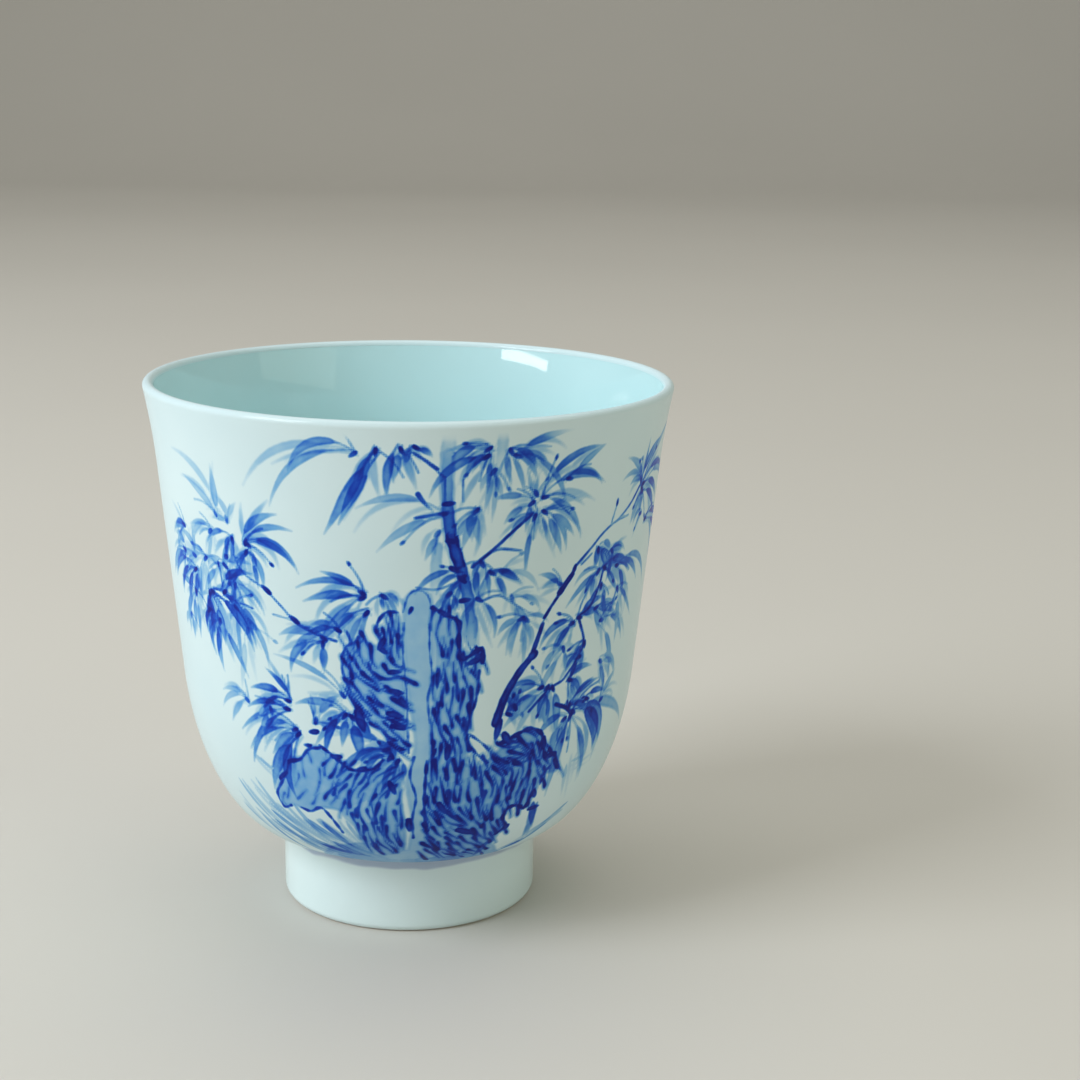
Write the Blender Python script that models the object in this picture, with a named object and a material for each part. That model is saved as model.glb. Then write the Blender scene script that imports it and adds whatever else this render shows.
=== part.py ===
"""Teacup: a thin porcelain bowl without a handle, standing on a low turned foot ring.

The cup stands on the XY plane with its axis on Z. Sizes below are in millimetres and the
meshes are built in metres. Both pieces are turned shapes: each is an outline of (radius,
height) points, worked out from the sizes, and swept once round the axis.
"""
import math

import bmesh
import bpy

MM = 0.001                  # metres in a millimetre

# Overall sizes
CUP_HEIGHT = 77.0           # floor to the top of the lip
RIM_DIAMETER = 75.0         # over the widest part of the lip
LIP_THICKNESS = 1.5         # the lip is a half round of this thickness

# Outside of the wall
WALL_TAPER = 0.102          # radius lost per millimetre of height below the lip
LIP_FLARE = 0.60            # how far the lip turns out from the straight wall
FLARE_LENGTH = 11.0         # height over which it turns out
BELLY_HEIGHT = 35.0         # where the straight wall ends and the belly turns in
BELLY_ROUNDNESS = 2.05      # a higher power keeps the belly full for longer
BELLY_TUCK = 0.50           # a lower power tucks the underside in flatter

# Inside of the bowl
WALL_THICKNESS = 2.1        # at the top of the belly, where the wall is straight
FLOOR_THICKNESS = 3.4       # through the middle of the floor
INNER_ROUNDNESS = 3.0       # power of the curve from the inner wall to the floor

# Foot ring
FOOT_DIAMETER = 37.2        # outside, at the top of its rounded lower edge
FOOT_HEIGHT = 11.2          # floor to the top of the ring
FOOT_WALL = 3.0             # thickness of the ring at its top
FOOT_EDGE_WIDTH = 1.4       # the flat bare edge that the cup stands on
FOOT_OUTER_ROUND = 1.1      # rounding of the outer lower edge
FOOT_FLARE = 0.8            # how far the ring's top spreads under the bowl

# Joint between bowl and ring
SLIP_GAP = 0.3              # thickness of the joint, on every face of it
BOSS_DEPTH = 1.9            # how far the bowl's round boss drops inside the ring

# Fineness of the turned surfaces
SEGMENTS = 72
BELLY_STEPS = 12
FLARE_STEPS = 4
LIP_STEPS = 8
BOWL_STEPS = 12
ROUND_STEPS = 5

# Sizes that follow from the ones above
LIP_RADIUS = LIP_THICKNESS / 2.0
RIM_RADIUS = RIM_DIAMETER / 2.0
LIP_CENTRE_HEIGHT = CUP_HEIGHT - LIP_RADIUS
FOOT_RADIUS = FOOT_DIAMETER / 2.0
FOOT_TOP_RADIUS = FOOT_RADIUS + FOOT_FLARE
RING_INNER_RADIUS = FOOT_RADIUS - FOOT_WALL
SEAT_HEIGHT = FOOT_HEIGHT + SLIP_GAP
BASE_HEIGHT = SEAT_HEIGHT - BOSS_DEPTH
BOSS_RADIUS = RING_INNER_RADIUS - SLIP_GAP
FLOOR_HEIGHT = BASE_HEIGHT + FLOOR_THICKNESS


def clear_scene():
    """Remove every object that the file starts with."""
    for obj in list(bpy.data.objects):
        bpy.data.objects.remove(obj, do_unlink=True)


def straight_wall(height):
    """Outer radius of the tapering wall, without the lip's flare and the belly's turn-in."""
    return RIM_RADIUS - LIP_FLARE - WALL_TAPER * (LIP_CENTRE_HEIGHT - height)


def belly_points():
    """The underside and belly, from the joint with the foot up to the straight wall."""
    turn_in = straight_wall(SEAT_HEIGHT) - FOOT_TOP_RADIUS
    drop = BELLY_HEIGHT - SEAT_HEIGHT
    points = []
    for step in range(BELLY_STEPS, -1, -1):
        angle = 0.5 * math.pi * step / BELLY_STEPS
        height = BELLY_HEIGHT - drop * math.sin(angle) ** (2.0 / BELLY_ROUNDNESS)
        tucked = 1.0 - max(math.cos(angle), 0.0) ** (2.0 * BELLY_TUCK)
        points.append((straight_wall(height) - turn_in * tucked, height))
    return points


def flare_points():
    """The top of the outer wall, turning out gently to the lip."""
    start = LIP_CENTRE_HEIGHT - FLARE_LENGTH
    points = []
    for step in range(FLARE_STEPS):
        share = step / FLARE_STEPS
        height = start + FLARE_LENGTH * share
        points.append((straight_wall(height) + LIP_FLARE * share ** 2, height))
    return points


def lip_points():
    """The half-round lip, from its outer side over the top to its inner side."""
    centre = RIM_RADIUS - LIP_RADIUS
    points = []
    for step in range(LIP_STEPS + 1):
        angle = math.pi * step / LIP_STEPS
        points.append((centre + LIP_RADIUS * math.cos(angle),
                       LIP_CENTRE_HEIGHT + LIP_RADIUS * math.sin(angle)))
    return points


def inner_wall(height):
    """Radius of the inner wall: the outer wall less a thickness that grows below the lip."""
    below_lip = (LIP_CENTRE_HEIGHT - height) / (LIP_CENTRE_HEIGHT - BELLY_HEIGHT)
    flare = LIP_FLARE * max(0.0, 1.0 - (LIP_CENTRE_HEIGHT - height) / FLARE_LENGTH) ** 2
    thickness = LIP_THICKNESS + (WALL_THICKNESS - LIP_THICKNESS) * min(below_lip, 1.0)
    return straight_wall(height) + flare - thickness


def bowl_points():
    """The inside of the bowl, from below the lip down to the middle of the floor."""
    start = LIP_CENTRE_HEIGHT - FLARE_LENGTH
    points = []
    for step in range(1, FLARE_STEPS + 1):
        height = LIP_CENTRE_HEIGHT - FLARE_LENGTH * step / FLARE_STEPS
        points.append((inner_wall(max(height, start)), height))
    depth = BELLY_HEIGHT - FLOOR_HEIGHT
    for step in range(BOWL_STEPS):
        angle = 0.5 * math.pi * step / BOWL_STEPS
        height = BELLY_HEIGHT - depth * math.sin(angle) ** (2.0 / INNER_ROUNDNESS)
        points.append((inner_wall(height) * math.cos(angle) ** (2.0 / INNER_ROUNDNESS), height))
    points.append((0.0, FLOOR_HEIGHT))
    return points


def body_outline():
    """Outline of the bowl: base, boss, seat, outer wall, lip, then down the inside."""
    underneath = [(0.0, BASE_HEIGHT), (BOSS_RADIUS, BASE_HEIGHT), (BOSS_RADIUS, SEAT_HEIGHT)]
    return underneath + belly_points() + flare_points() + lip_points() + bowl_points()


def foot_outline():
    """Outline of the foot ring: standing edge, rounded outer edge, outer wall, top, inside."""
    round_centre = (FOOT_RADIUS - FOOT_OUTER_ROUND, FOOT_OUTER_ROUND)
    points = [(round_centre[0] - FOOT_EDGE_WIDTH, 0.0)]
    for step in range(ROUND_STEPS + 1):
        angle = 0.5 * math.pi * (step / ROUND_STEPS - 1.0)
        points.append((round_centre[0] + FOOT_OUTER_ROUND * math.cos(angle),
                       round_centre[1] + FOOT_OUTER_ROUND * math.sin(angle)))
    for step in range(1, ROUND_STEPS + 1):
        share = 0.5 + 0.5 * step / ROUND_STEPS
        height = FOOT_HEIGHT * share
        points.append((FOOT_RADIUS + FOOT_FLARE * (2.0 * share - 1.0) ** 2, height))
    points.append((RING_INNER_RADIUS, FOOT_HEIGHT))
    points.append((RING_INNER_RADIUS, FOOT_OUTER_ROUND))
    return points


def turn(name, outline, material):
    """Sweep a closed outline, anticlockwise in (radius, height), once round the Z axis."""
    mesh = bmesh.new()
    rings = []
    for radius, height in outline:
        if radius == 0.0:
            rings.append([mesh.verts.new((0.0, 0.0, height * MM))])
            continue
        angles = [2.0 * math.pi * i / SEGMENTS for i in range(SEGMENTS)]
        rings.append([mesh.verts.new((radius * math.cos(a) * MM, radius * math.sin(a) * MM,
                                      height * MM)) for a in angles])
    for lower, upper in zip(rings, rings[1:] + rings[:1]):
        if len(lower) == 1 and len(upper) == 1:
            continue
        for i in range(SEGMENTS):
            j = (i + 1) % SEGMENTS
            corners = [lower[i % len(lower)], lower[j % len(lower)],
                       upper[j % len(upper)], upper[i % len(upper)]]
            mesh.faces.new(list(dict.fromkeys(corners)))
    data = bpy.data.meshes.new(name)
    mesh.to_mesh(data)
    mesh.free()
    data.materials.append(material)
    data.shade_smooth()
    data.set_sharp_from_angle(angle=math.radians(35.0))
    obj = bpy.data.objects.new(name, data)
    bpy.context.scene.collection.objects.link(obj)
    return obj


def glazed_porcelain(name, colour, roughness):
    """A glossy glazed ceramic in one linear colour."""
    material = bpy.data.materials.new(name)
    material.use_nodes = True
    shader = material.node_tree.nodes["Principled BSDF"]
    shader.inputs["Base Color"].default_value = (*colour, 1.0)
    shader.inputs["Roughness"].default_value = roughness
    shader.inputs["Metallic"].default_value = 0.0
    return material


def cup_body():
    """The thrown bowl, in the pale blue-white of a glaze with cobalt under it."""
    return turn("cup_body", body_outline(), glazed_porcelain("painted_glaze", (0.52, 0.63, 0.72), 0.08))


def foot_ring():
    """The turned ring under the bowl, in plain glaze."""
    return turn("foot_ring", foot_outline(), glazed_porcelain("plain_glaze", (0.74, 0.82, 0.82), 0.10))


def build():
    """Make the whole cup."""
    clear_scene()
    cup_body()
    foot_ring()


build()
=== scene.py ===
"""Teacup of thin glazed porcelain, with bamboo and rocks painted in cobalt under the glaze.

The finish is five turned surfaces, four glazed and one bare, swept round the axis by one Geometry
Nodes tree. The painting is laid on the outer one with a small set of brush strokes: leaf, line,
dab, wash and rock texture. A stroke is a path over the wall, in millimetres, and each point of the
wall keeps how far inside the nearest stroke of each layer it lies and how strong the colour is
there. The cobalt is made from those.
"""
import math
import bpy
import numpy as np
from mathutils import Matrix, Vector


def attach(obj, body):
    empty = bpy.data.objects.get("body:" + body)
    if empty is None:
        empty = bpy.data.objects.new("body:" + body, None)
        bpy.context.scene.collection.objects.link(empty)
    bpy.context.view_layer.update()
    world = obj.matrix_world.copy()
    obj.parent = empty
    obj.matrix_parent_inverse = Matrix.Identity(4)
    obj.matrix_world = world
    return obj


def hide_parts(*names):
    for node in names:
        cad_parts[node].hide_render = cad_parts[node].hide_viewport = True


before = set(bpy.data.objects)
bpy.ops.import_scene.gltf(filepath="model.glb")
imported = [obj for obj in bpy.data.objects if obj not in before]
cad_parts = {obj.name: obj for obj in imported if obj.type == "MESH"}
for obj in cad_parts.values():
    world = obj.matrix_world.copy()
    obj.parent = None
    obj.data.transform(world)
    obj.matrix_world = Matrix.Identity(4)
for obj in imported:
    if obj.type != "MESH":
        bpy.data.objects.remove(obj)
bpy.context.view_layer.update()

MM = 0.001                      # metres in a millimetre

# ---------------------------------------------------------------- sizes of the cup, in millimetres
CUP_HEIGHT = 77.0
RIM_RADIUS = 37.5
LIP_RADIUS = 0.75               # the lip is a half round
LIP_CENTRE_HEIGHT = CUP_HEIGHT - LIP_RADIUS
WALL_TAPER = 0.102              # radius lost per millimetre of height below the lip
LIP_FLARE = 0.60
FLARE_LENGTH = 11.0
BELLY_HEIGHT = 35.0             # where the straight wall ends and the belly turns in
BELLY_ROUNDNESS = 2.05
BELLY_TUCK = 0.50
SEAM_RADIUS = 19.4              # where the bowl meets the foot ring
SEAM_HEIGHT = 11.5
INNER_LIP_THICKNESS = 1.5
INNER_THICKNESS = 2.1
INNER_ROUNDNESS = 3.0
FLOOR_HEIGHT = 13.0
FOOT_RADIUS = 18.6
FOOT_FLARE = 0.8
FOOT_ROUND = 1.1
FOOT_INNER_RADIUS = 15.6
FOOT_EDGE_WIDTH = 1.4
BASE_HEIGHT = 9.6

PAINT_PITCH = 0.27              # spacing of the rows that carry the painting
FRONT_ANGLE = math.radians(88.0)  # the painting lies within this angle of the cup's front
FRONT_SHARE = 0.88              # share of the columns given to that front part
CROWDING = 0.28                 # the columns are closer together at the very front
TOP_OF_PICTURE = 69.2           # how far up the wall the painting goes
WALL_RADIUS = 34.38             # radius at which a degree round the wall is 0.6 mm
PAINTED_COLUMNS = 350           # steps round the cup, for the painted surface
PLAIN_COLUMNS = 181             # and for the others
LIFT_LENGTH = 0.8               # the brush lifts off over this length below the picture's top

# ---------------------------------------------------------------- how the brush moves
LEAF_DROOP = 78.0               # degrees that a level leaf turns down along its length
HEADING_SCATTER = 24.0          # degrees by which the leaves of a spray stray from an even fan
DROOP_SCATTER = 40.0            # degrees by which their droop varies
LEAF_TIP = 0.11                 # half the width of a leaf's stem and tip, in millimetres
STROKE_TIP = 0.06               # the same for a texture stroke on a rock
STROKE_HALO = 0.2               # how far the paler wash spreads round a texture stroke
BRUSH_SOFTNESS = 0.12           # rounds the middle of a stroke, so that thin lines stay whole


# ---------------------------------------------------------------- small helpers
def node(tree, kind, inputs=None, **settings):
    """Add a node, set its properties, and fill its inputs with values or links."""
    new = tree.nodes.new(kind)
    for name, value in settings.items():
        setattr(new, name, value)
    for key, value in (inputs or {}).items():
        if isinstance(value, bpy.types.NodeSocket):
            tree.links.new(value, new.inputs[key])
        else:
            new.inputs[key].default_value = value
    return new


def linear(hex_colour):
    """Linear RGBA of an sRGB hex colour."""
    parts = [int(hex_colour[i:i + 2], 16) / 255.0 for i in (1, 3, 5)]
    return tuple(c / 12.92 if c <= 0.04045 else ((c + 0.055) / 1.055) ** 2.4 for c in parts) + (1.0,)


# ---------------------------------------------------------------- outlines, (radius, height) in mm
def straight_wall(height):
    """Outer radius of the tapering wall."""
    return RIM_RADIUS - LIP_FLARE - WALL_TAPER * (LIP_CENTRE_HEIGHT - height)


def lip_flare(height):
    """How far the wall turns out near the lip."""
    share = 1.0 - (LIP_CENTRE_HEIGHT - height) / FLARE_LENGTH
    return LIP_FLARE * max(0.0, share) ** 2


def inner_wall(height):
    """Radius of the inner wall, thicker towards the belly."""
    below = min((LIP_CENTRE_HEIGHT - height) / (LIP_CENTRE_HEIGHT - BELLY_HEIGHT), 1.0)
    thickness = INNER_LIP_THICKNESS + (INNER_THICKNESS - INNER_LIP_THICKNESS) * below
    return straight_wall(height) + lip_flare(height) - thickness


def respaced(points, pitch):
    """The same outline with its points at equal distances along it."""
    points = np.array(points)
    along = np.concatenate([[0.0], np.cumsum(np.hypot(*np.diff(points, axis=0).T))])
    steps = np.linspace(0.0, along[-1], max(2, int(round(along[-1] / pitch)) + 1))
    return np.column_stack([np.interp(steps, along, points[:, 0]), np.interp(steps, along, points[:, 1])])


def arc(centre, radius, start, end, steps):
    """Points of an arc, from one angle in degrees to another."""
    angles = np.radians(np.linspace(start, end, steps + 1))
    return np.column_stack([centre[0] + radius * np.cos(angles), centre[1] + radius * np.sin(angles)])


def outer_outline():
    """From the joint with the foot, round the belly, up the wall and over the whole lip."""
    turn_in = straight_wall(SEAM_HEIGHT) - SEAM_RADIUS
    points = []
    for angle in np.linspace(0.5 * math.pi, 0.0, 400):
        height = BELLY_HEIGHT - (BELLY_HEIGHT - SEAM_HEIGHT) * math.sin(angle) ** (2.0 / BELLY_ROUNDNESS)
        tucked = 1.0 - max(math.cos(angle), 0.0) ** (2.0 * BELLY_TUCK)
        points.append((straight_wall(height) - turn_in * tucked, height))
    for height in np.linspace(BELLY_HEIGHT, LIP_CENTRE_HEIGHT, 200)[1:]:
        points.append((straight_wall(height) + lip_flare(height), height))
    wall = respaced(points, PAINT_PITCH)
    lip = arc((RIM_RADIUS - LIP_RADIUS, LIP_CENTRE_HEIGHT), LIP_RADIUS, 0.0, 180.0, 18)
    return np.vstack([wall, lip[1:]])


def inner_outline():
    """From the inner side of the lip down to the middle of the bowl's floor."""
    points = [(inner_wall(h), h) for h in np.linspace(LIP_CENTRE_HEIGHT, BELLY_HEIGHT, 60)]
    for angle in np.linspace(0.0, 0.5 * math.pi, 200)[1:-1]:
        height = BELLY_HEIGHT - (BELLY_HEIGHT - FLOOR_HEIGHT) * math.sin(angle) ** (2.0 / INNER_ROUNDNESS)
        points.append((inner_wall(height) * math.cos(angle) ** (2.0 / INNER_ROUNDNESS), height))
    points.append((0.0, FLOOR_HEIGHT))
    return respaced(points, 0.9)


def foot_outline():
    """Glazed outside of the foot ring, from its bare edge up to the joint with the bowl."""
    points = list(arc((FOOT_RADIUS - FOOT_ROUND, FOOT_ROUND), FOOT_ROUND, -52.0, 0.0, 8))
    for share in np.linspace(0.0, 1.0, 30)[1:]:
        height = FOOT_ROUND + (SEAM_HEIGHT - FOOT_ROUND) * share
        flare = FOOT_FLARE * max(0.0, 2.0 * share - 1.0) ** 2
        points.append((FOOT_RADIUS + flare, height))
    return np.array(points)


def bare_edge_outline():
    """The unglazed edge that the cup stands on, with both of its corners."""
    inner = FOOT_RADIUS - FOOT_ROUND - FOOT_EDGE_WIDTH
    points = [(FOOT_INNER_RADIUS + 0.16, 0.75), (FOOT_INNER_RADIUS + 0.30, 0.44)]
    points += list(arc((inner + 0.05, 0.22), 0.22, -160.0, -90.0, 6))
    points += [(inner + FOOT_EDGE_WIDTH * share, 0.0) for share in (0.35, 0.65)]
    points += list(arc((FOOT_RADIUS - FOOT_ROUND, FOOT_ROUND), FOOT_ROUND, -90.0, -52.0, 6))
    return np.array(points)


def base_outline():
    """Glazed base under the bowl, from its middle out, and the inside of the foot ring."""
    points = [(r, BASE_HEIGHT) for r in np.linspace(0.0, FOOT_INNER_RADIUS - 1.2, 16)]
    points += list(arc((FOOT_INNER_RADIUS - 1.2, BASE_HEIGHT - 1.2), 1.2, 90.0, 0.0, 10))[1:]
    points += [(FOOT_INNER_RADIUS, h) for h in np.linspace(BASE_HEIGHT - 1.2, 1.1, 10)[1:]]
    points += [(FOOT_INNER_RADIUS + 0.16, 0.75)]
    return np.array(points)


# ---------------------------------------------------------------- the painter's strokes
# A place on the wall is (u, v): u millimetres round the wall to the right of the front, measured
# where the radius is 34.38 mm, and v millimetres up the wall from the joint with the foot.
LAYERS = ("wash", "shade", "leaf_a", "leaf_b", "ink", "fine")


class Painting:
    """The strokes laid so far: (layer, path, half widths, strengths)."""

    def __init__(self, seed):
        self.strokes = []
        self.chance = np.random.default_rng(seed)
        self.turns = 0

    def lay(self, layer, path, half_widths, strengths):
        """Keep a stroke; the brush lifts off before it reaches the lip."""
        path = np.array(path)
        below_lip = np.clip((TOP_OF_PICTURE - path[:, 1]) / LIFT_LENGTH, 0.0, 1.0)
        self.strokes.append((LAYERS.index(layer), path, np.array(half_widths),
                             np.array(strengths) * below_lip))

    def vary(self, amount):
        return self.chance.uniform(-amount, amount)

    def walk(self, u, v, heading, length, bend, steps, early=1.0):
        """A path from a point, turning by bend degrees in all, the sooner the higher early is."""
        path = [(u, v)]
        for step in range(steps):
            angle = math.radians(heading + bend * (1.0 - (1.0 - (step + 0.5) / steps) ** early))
            u += length / steps * math.cos(angle)
            v += length / steps * math.sin(angle)
            path.append((u, v))
        return path

    def leaf(self, u, v, heading, length, width, strength, bend=0.0, stem=0.2, layer=None):
        """A bamboo leaf: a thread of a stem that bends over, then a blade that ends in a long point."""
        t = np.linspace(0.0, 1.0, 19)
        blade = np.clip((t - stem) / (1.0 - stem), 0.0, 1.0)
        swell = blade ** 0.8 * (1.0 - blade) ** 1.6
        half = 0.5 * width * swell / swell.max() + LEAF_TIP
        tone = strength * (1.0 - 0.42 * blade ** 0.7 - 0.3 * blade ** 5)
        self.turns += 1
        self.lay(layer or ("leaf_a", "leaf_b")[self.turns % 2],
                 self.walk(u, v, heading - 0.38 * bend, length, bend, 18, early=1.2), half, tone)

    def dab(self, u, v, heading, length, width, strength, layer="ink"):
        """A short dab, thick where the brush lands and pulled off to a tail."""
        t = np.linspace(0.0, 1.0, 7)
        half = 0.5 * width * np.sqrt(np.clip(1.0 - t ** 1.6, 0.0,
                                             1.0)) * (0.72 + 0.28 * np.sin(math.pi * t))
        self.lay(layer, self.walk(u, v, heading, length, 0.0, 6), half + 0.02,
                 strength * (1.0 - 0.25 * t))

    def line(self, points, width, strength, end_width=None, end_strength=None, layer="fine", rough=0.0):
        """A drawn line through some points, swelling and thinning a little as it goes."""
        path = smooth_path(points, 0.8)
        t = np.linspace(0.0, 1.0, len(path))
        width_end = width if end_width is None else end_width
        strength_end = strength if end_strength is None else end_strength
        half = 0.5 * (width + (width_end - width) * t)
        swell = 1.0 + rough * np.sin(np.arange(len(path)) * 1.9 + self.vary(3.0)) * 0.6
        tone = strength + (strength_end - strength) * t
        self.lay(layer, path, half * np.clip(swell, 0.35, 2.0), tone)

    def spray(self, u, v, heading, fan, count, reach, width, strength):
        """Leaves that arch over from the end of a twig, with thinner paler ones behind them."""
        behind = [((i + 0.2) / count, 0.95, 0.46, 0.4, "shade") for i in range(count + 1)]
        front = [((i + 0.5) / count, 1.06, 0.68, 0.76, None) for i in range(count)]
        for share, long, wide, strong, layer in behind + front:
            away = heading + 1.5 * fan * (share - 0.5) + self.vary(HEADING_SCATTER)
            middle = 1.0 - abs(2.0 * min(share, 1.0) - 1.0)
            length = reach * long * (0.74 + 0.4 * middle) * (1.0 + self.vary(0.34))
            bend = -LEAF_DROOP * math.cos(math.radians(away)) + self.vary(DROOP_SCATTER)
            self.leaf(u + self.vary(0.5), v + self.vary(0.5), away, length,
                      width * wide * (0.76 + 0.3 * middle) * (1.0 + self.vary(0.3)),
                      min(1.0, strength * strong * (1.0 + self.vary(0.25))), bend,
                      stem=0.16 + abs(self.vary(0.16)), layer=layer)
        # A thread or two with a bud at its end
        for _ in range(1 + count // 3):
            away = heading + self.vary(0.5 * fan + 50.0)
            path = self.walk(u, v, away + 40.0 * math.cos(math.radians(away)), 0.42 * reach + 1.0,
                             -60.0 * math.cos(math.radians(away)), 6)
            self.line(path[::2] + path[-1:], 0.34, 0.7 * strength, 0.3, 0.5 * strength)
            if self.chance.random() < 0.35:
                self.dab(*path[-1], away, 0.7, 0.5, min(1.0, strength + 0.1), layer="fine")
        self.dab(u, v, heading + self.vary(40.0), 1.1, 0.66, min(1.0, strength + 0.15))

    def wash(self, outline, strength):
        """A flat wash filling an outline."""
        self.strokes.append((0, np.array(smooth_path(list(outline) + [outline[0]], 0.9)), None, strength))

    def rock(self, outline, wash, guides, gap, width, length, strength):
        """Texture strokes that follow the guides' headings, no two of them closer than a gap."""
        if wash:
            self.wash(outline, wash)
        edge = np.array(outline)
        guides = np.array(guides)
        low, high = edge.min(axis=0), edge.max(axis=0)
        placed = []
        for _ in range(2600):
            u, v = self.chance.uniform(low[0], high[0]), self.chance.uniform(low[1], high[1])
            if not inside(np.array([[u, v]]), edge)[0]:
                continue
            heading = flow(u, v, guides)
            along = np.array([math.cos(math.radians(heading)), math.sin(math.radians(heading))])
            close = False
            for other in placed:
                step = np.array([u - other[0], v - other[1]])
                if math.hypot(step @ along / (length * 0.66),
                              (step[0] * along[1] - step[1] * along[0]) / gap) < 1.0:
                    close = True
                    break
            if close:
                continue
            placed.append((u, v))
            self.follow(u, v, guides, length * (1.0 + self.vary(0.3)), width * (1.0 + self.vary(0.35)),
                        min(1.0, strength * (1.0 + self.vary(0.12))))

    def follow(self, u, v, guides, length, width, strength):
        """A line along the guides' headings, pressed hard near one end and lifted to a thread."""
        steps = 14
        angle = math.radians(flow(u, v, guides))
        u, v = u - 0.5 * length * math.cos(angle), v - 0.5 * length * math.sin(angle)
        path = [(u, v)]
        weave, turn = self.vary(24.0), self.chance.uniform(2.5, 5.0)
        for step in range(steps):
            angle = math.radians(flow(u, v, guides) + weave * math.sin(turn * step / steps))
            u, v = u + length / steps * math.cos(angle), v + length / steps * math.sin(angle)
            path.append((u, v))
        t = np.linspace(0.0, 1.0, steps + 1)
        if self.chance.random() < 0.4:
            t = t[::-1]
        lift = self.chance.uniform(0.8, 1.9)
        pressed = np.clip(t / 0.14, 0.0, 1.0) ** 0.6 * np.clip(1.0 - t, 0.0, 1.0) ** lift
        half = STROKE_TIP + 0.5 * width * pressed
        self.lay("ink", path, half, strength * (0.7 + 0.3 * pressed ** 0.5))
        self.lay("shade", path, half + STROKE_HALO, np.full(steps + 1, 0.3 * strength))


def smooth_path(points, pitch):
    """A smooth curve through the points, with its own points about a pitch apart."""
    points = np.array(points, dtype=float)
    ends = np.vstack([2 * points[0] - points[1], points, 2 * points[-1] - points[-2]])
    path = []
    for a, b, c, d in zip(ends, ends[1:], ends[2:], ends[3:]):
        steps = max(1, int(math.ceil(np.hypot(*(c - b)) / pitch)))
        for t in np.arange(steps) / steps:
            path.append(0.5 * (2 * b + (c - a) * t + (2 * a - 5 * b + 4 * c - d) * t ** 2
                               + (3 * b - a - 3 * c + d) * t ** 3))
    path.append(points[-1])
    return np.array(path)


def flow(u, v, guides):
    """Heading at a point, in degrees, from the guides (u, v, heading) round it."""
    weight = 1.0 / ((guides[:, 0] - u) ** 2 + (guides[:, 1] - v) ** 2 + 0.6) ** 1.5
    angle = np.radians(guides[:, 2])
    return math.degrees(math.atan2(np.sum(weight * np.sin(angle)), np.sum(weight * np.cos(angle))))


def inside(points, edge):
    """Which points lie inside a closed outline."""
    hit = np.zeros(len(points), dtype=bool)
    for (u0, v0), (u1, v1) in zip(edge, np.roll(edge, -1, axis=0)):
        crosses = (v0 > points[:, 1]) != (v1 > points[:, 1])
        where = u0 + (points[:, 1] - v0) / ((v1 - v0) or 1e-9) * (u1 - u0)
        hit ^= crosses & (points[:, 0] < where)
    return hit


def distance_to_path(points, path, squeeze):
    """Distance from each point to each piece of a path, and where along it the nearest spot is."""
    a, b = path[:-1], path[1:]
    step = b - a
    rel = points[:, None, :] - a[None]
    scale = np.stack([squeeze, np.ones_like(squeeze)], axis=1)[:, None, :]
    rel, run = rel * scale, step[None] * scale
    share = np.clip((rel * run).sum(2) / np.maximum((run * run).sum(2), 1e-12), 0.0, 1.0)
    away = rel - share[..., None] * run
    return np.sqrt((away * away).sum(2)), share


def lay_strokes(strokes, places, squeeze):
    """Depth inside the nearest stroke and its strength, for every layer and place."""
    depth = np.full((len(LAYERS), len(places)), -2.0)
    tone = np.zeros((len(LAYERS), len(places)))
    order = np.argsort(places[:, 0], kind="stable")
    sorted_u = places[order, 0]
    for layer, path, half, strength in strokes:
        margin = 1.3 + (0.0 if half is None else half.max())
        low, high = path.min(axis=0) - margin, path.max(axis=0) + margin
        low[0] -= margin
        high[0] += margin
        first, last = np.searchsorted(sorted_u, (low[0], high[0]))
        near = order[first:last]
        near = near[(places[near, 1] >= low[1]) & (places[near, 1] <= high[1])]
        if not len(near):
            continue
        away, share = distance_to_path(places[near], path, squeeze[near])
        if half is None:
            value = away.min(axis=1) * np.where(inside(places[near], path), 1.0, -1.0)
            strong = np.full(len(near), strength)
        else:
            width = half[:-1] + share * (half[1:] - half[:-1])
            level = strength[:-1] + share * (strength[1:] - strength[:-1])
            inward = width + 0.04 - np.hypot(away, BRUSH_SOFTNESS)
            best = inward.argmax(axis=1)
            row = np.arange(len(near))
            value, strong = inward[row, best], level[row, best]
        wins = value > depth[layer, near]
        depth[layer, near[wins]] = value[wins]
        tone[layer, near[wins]] = strong[wins]
    return depth, tone


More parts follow.
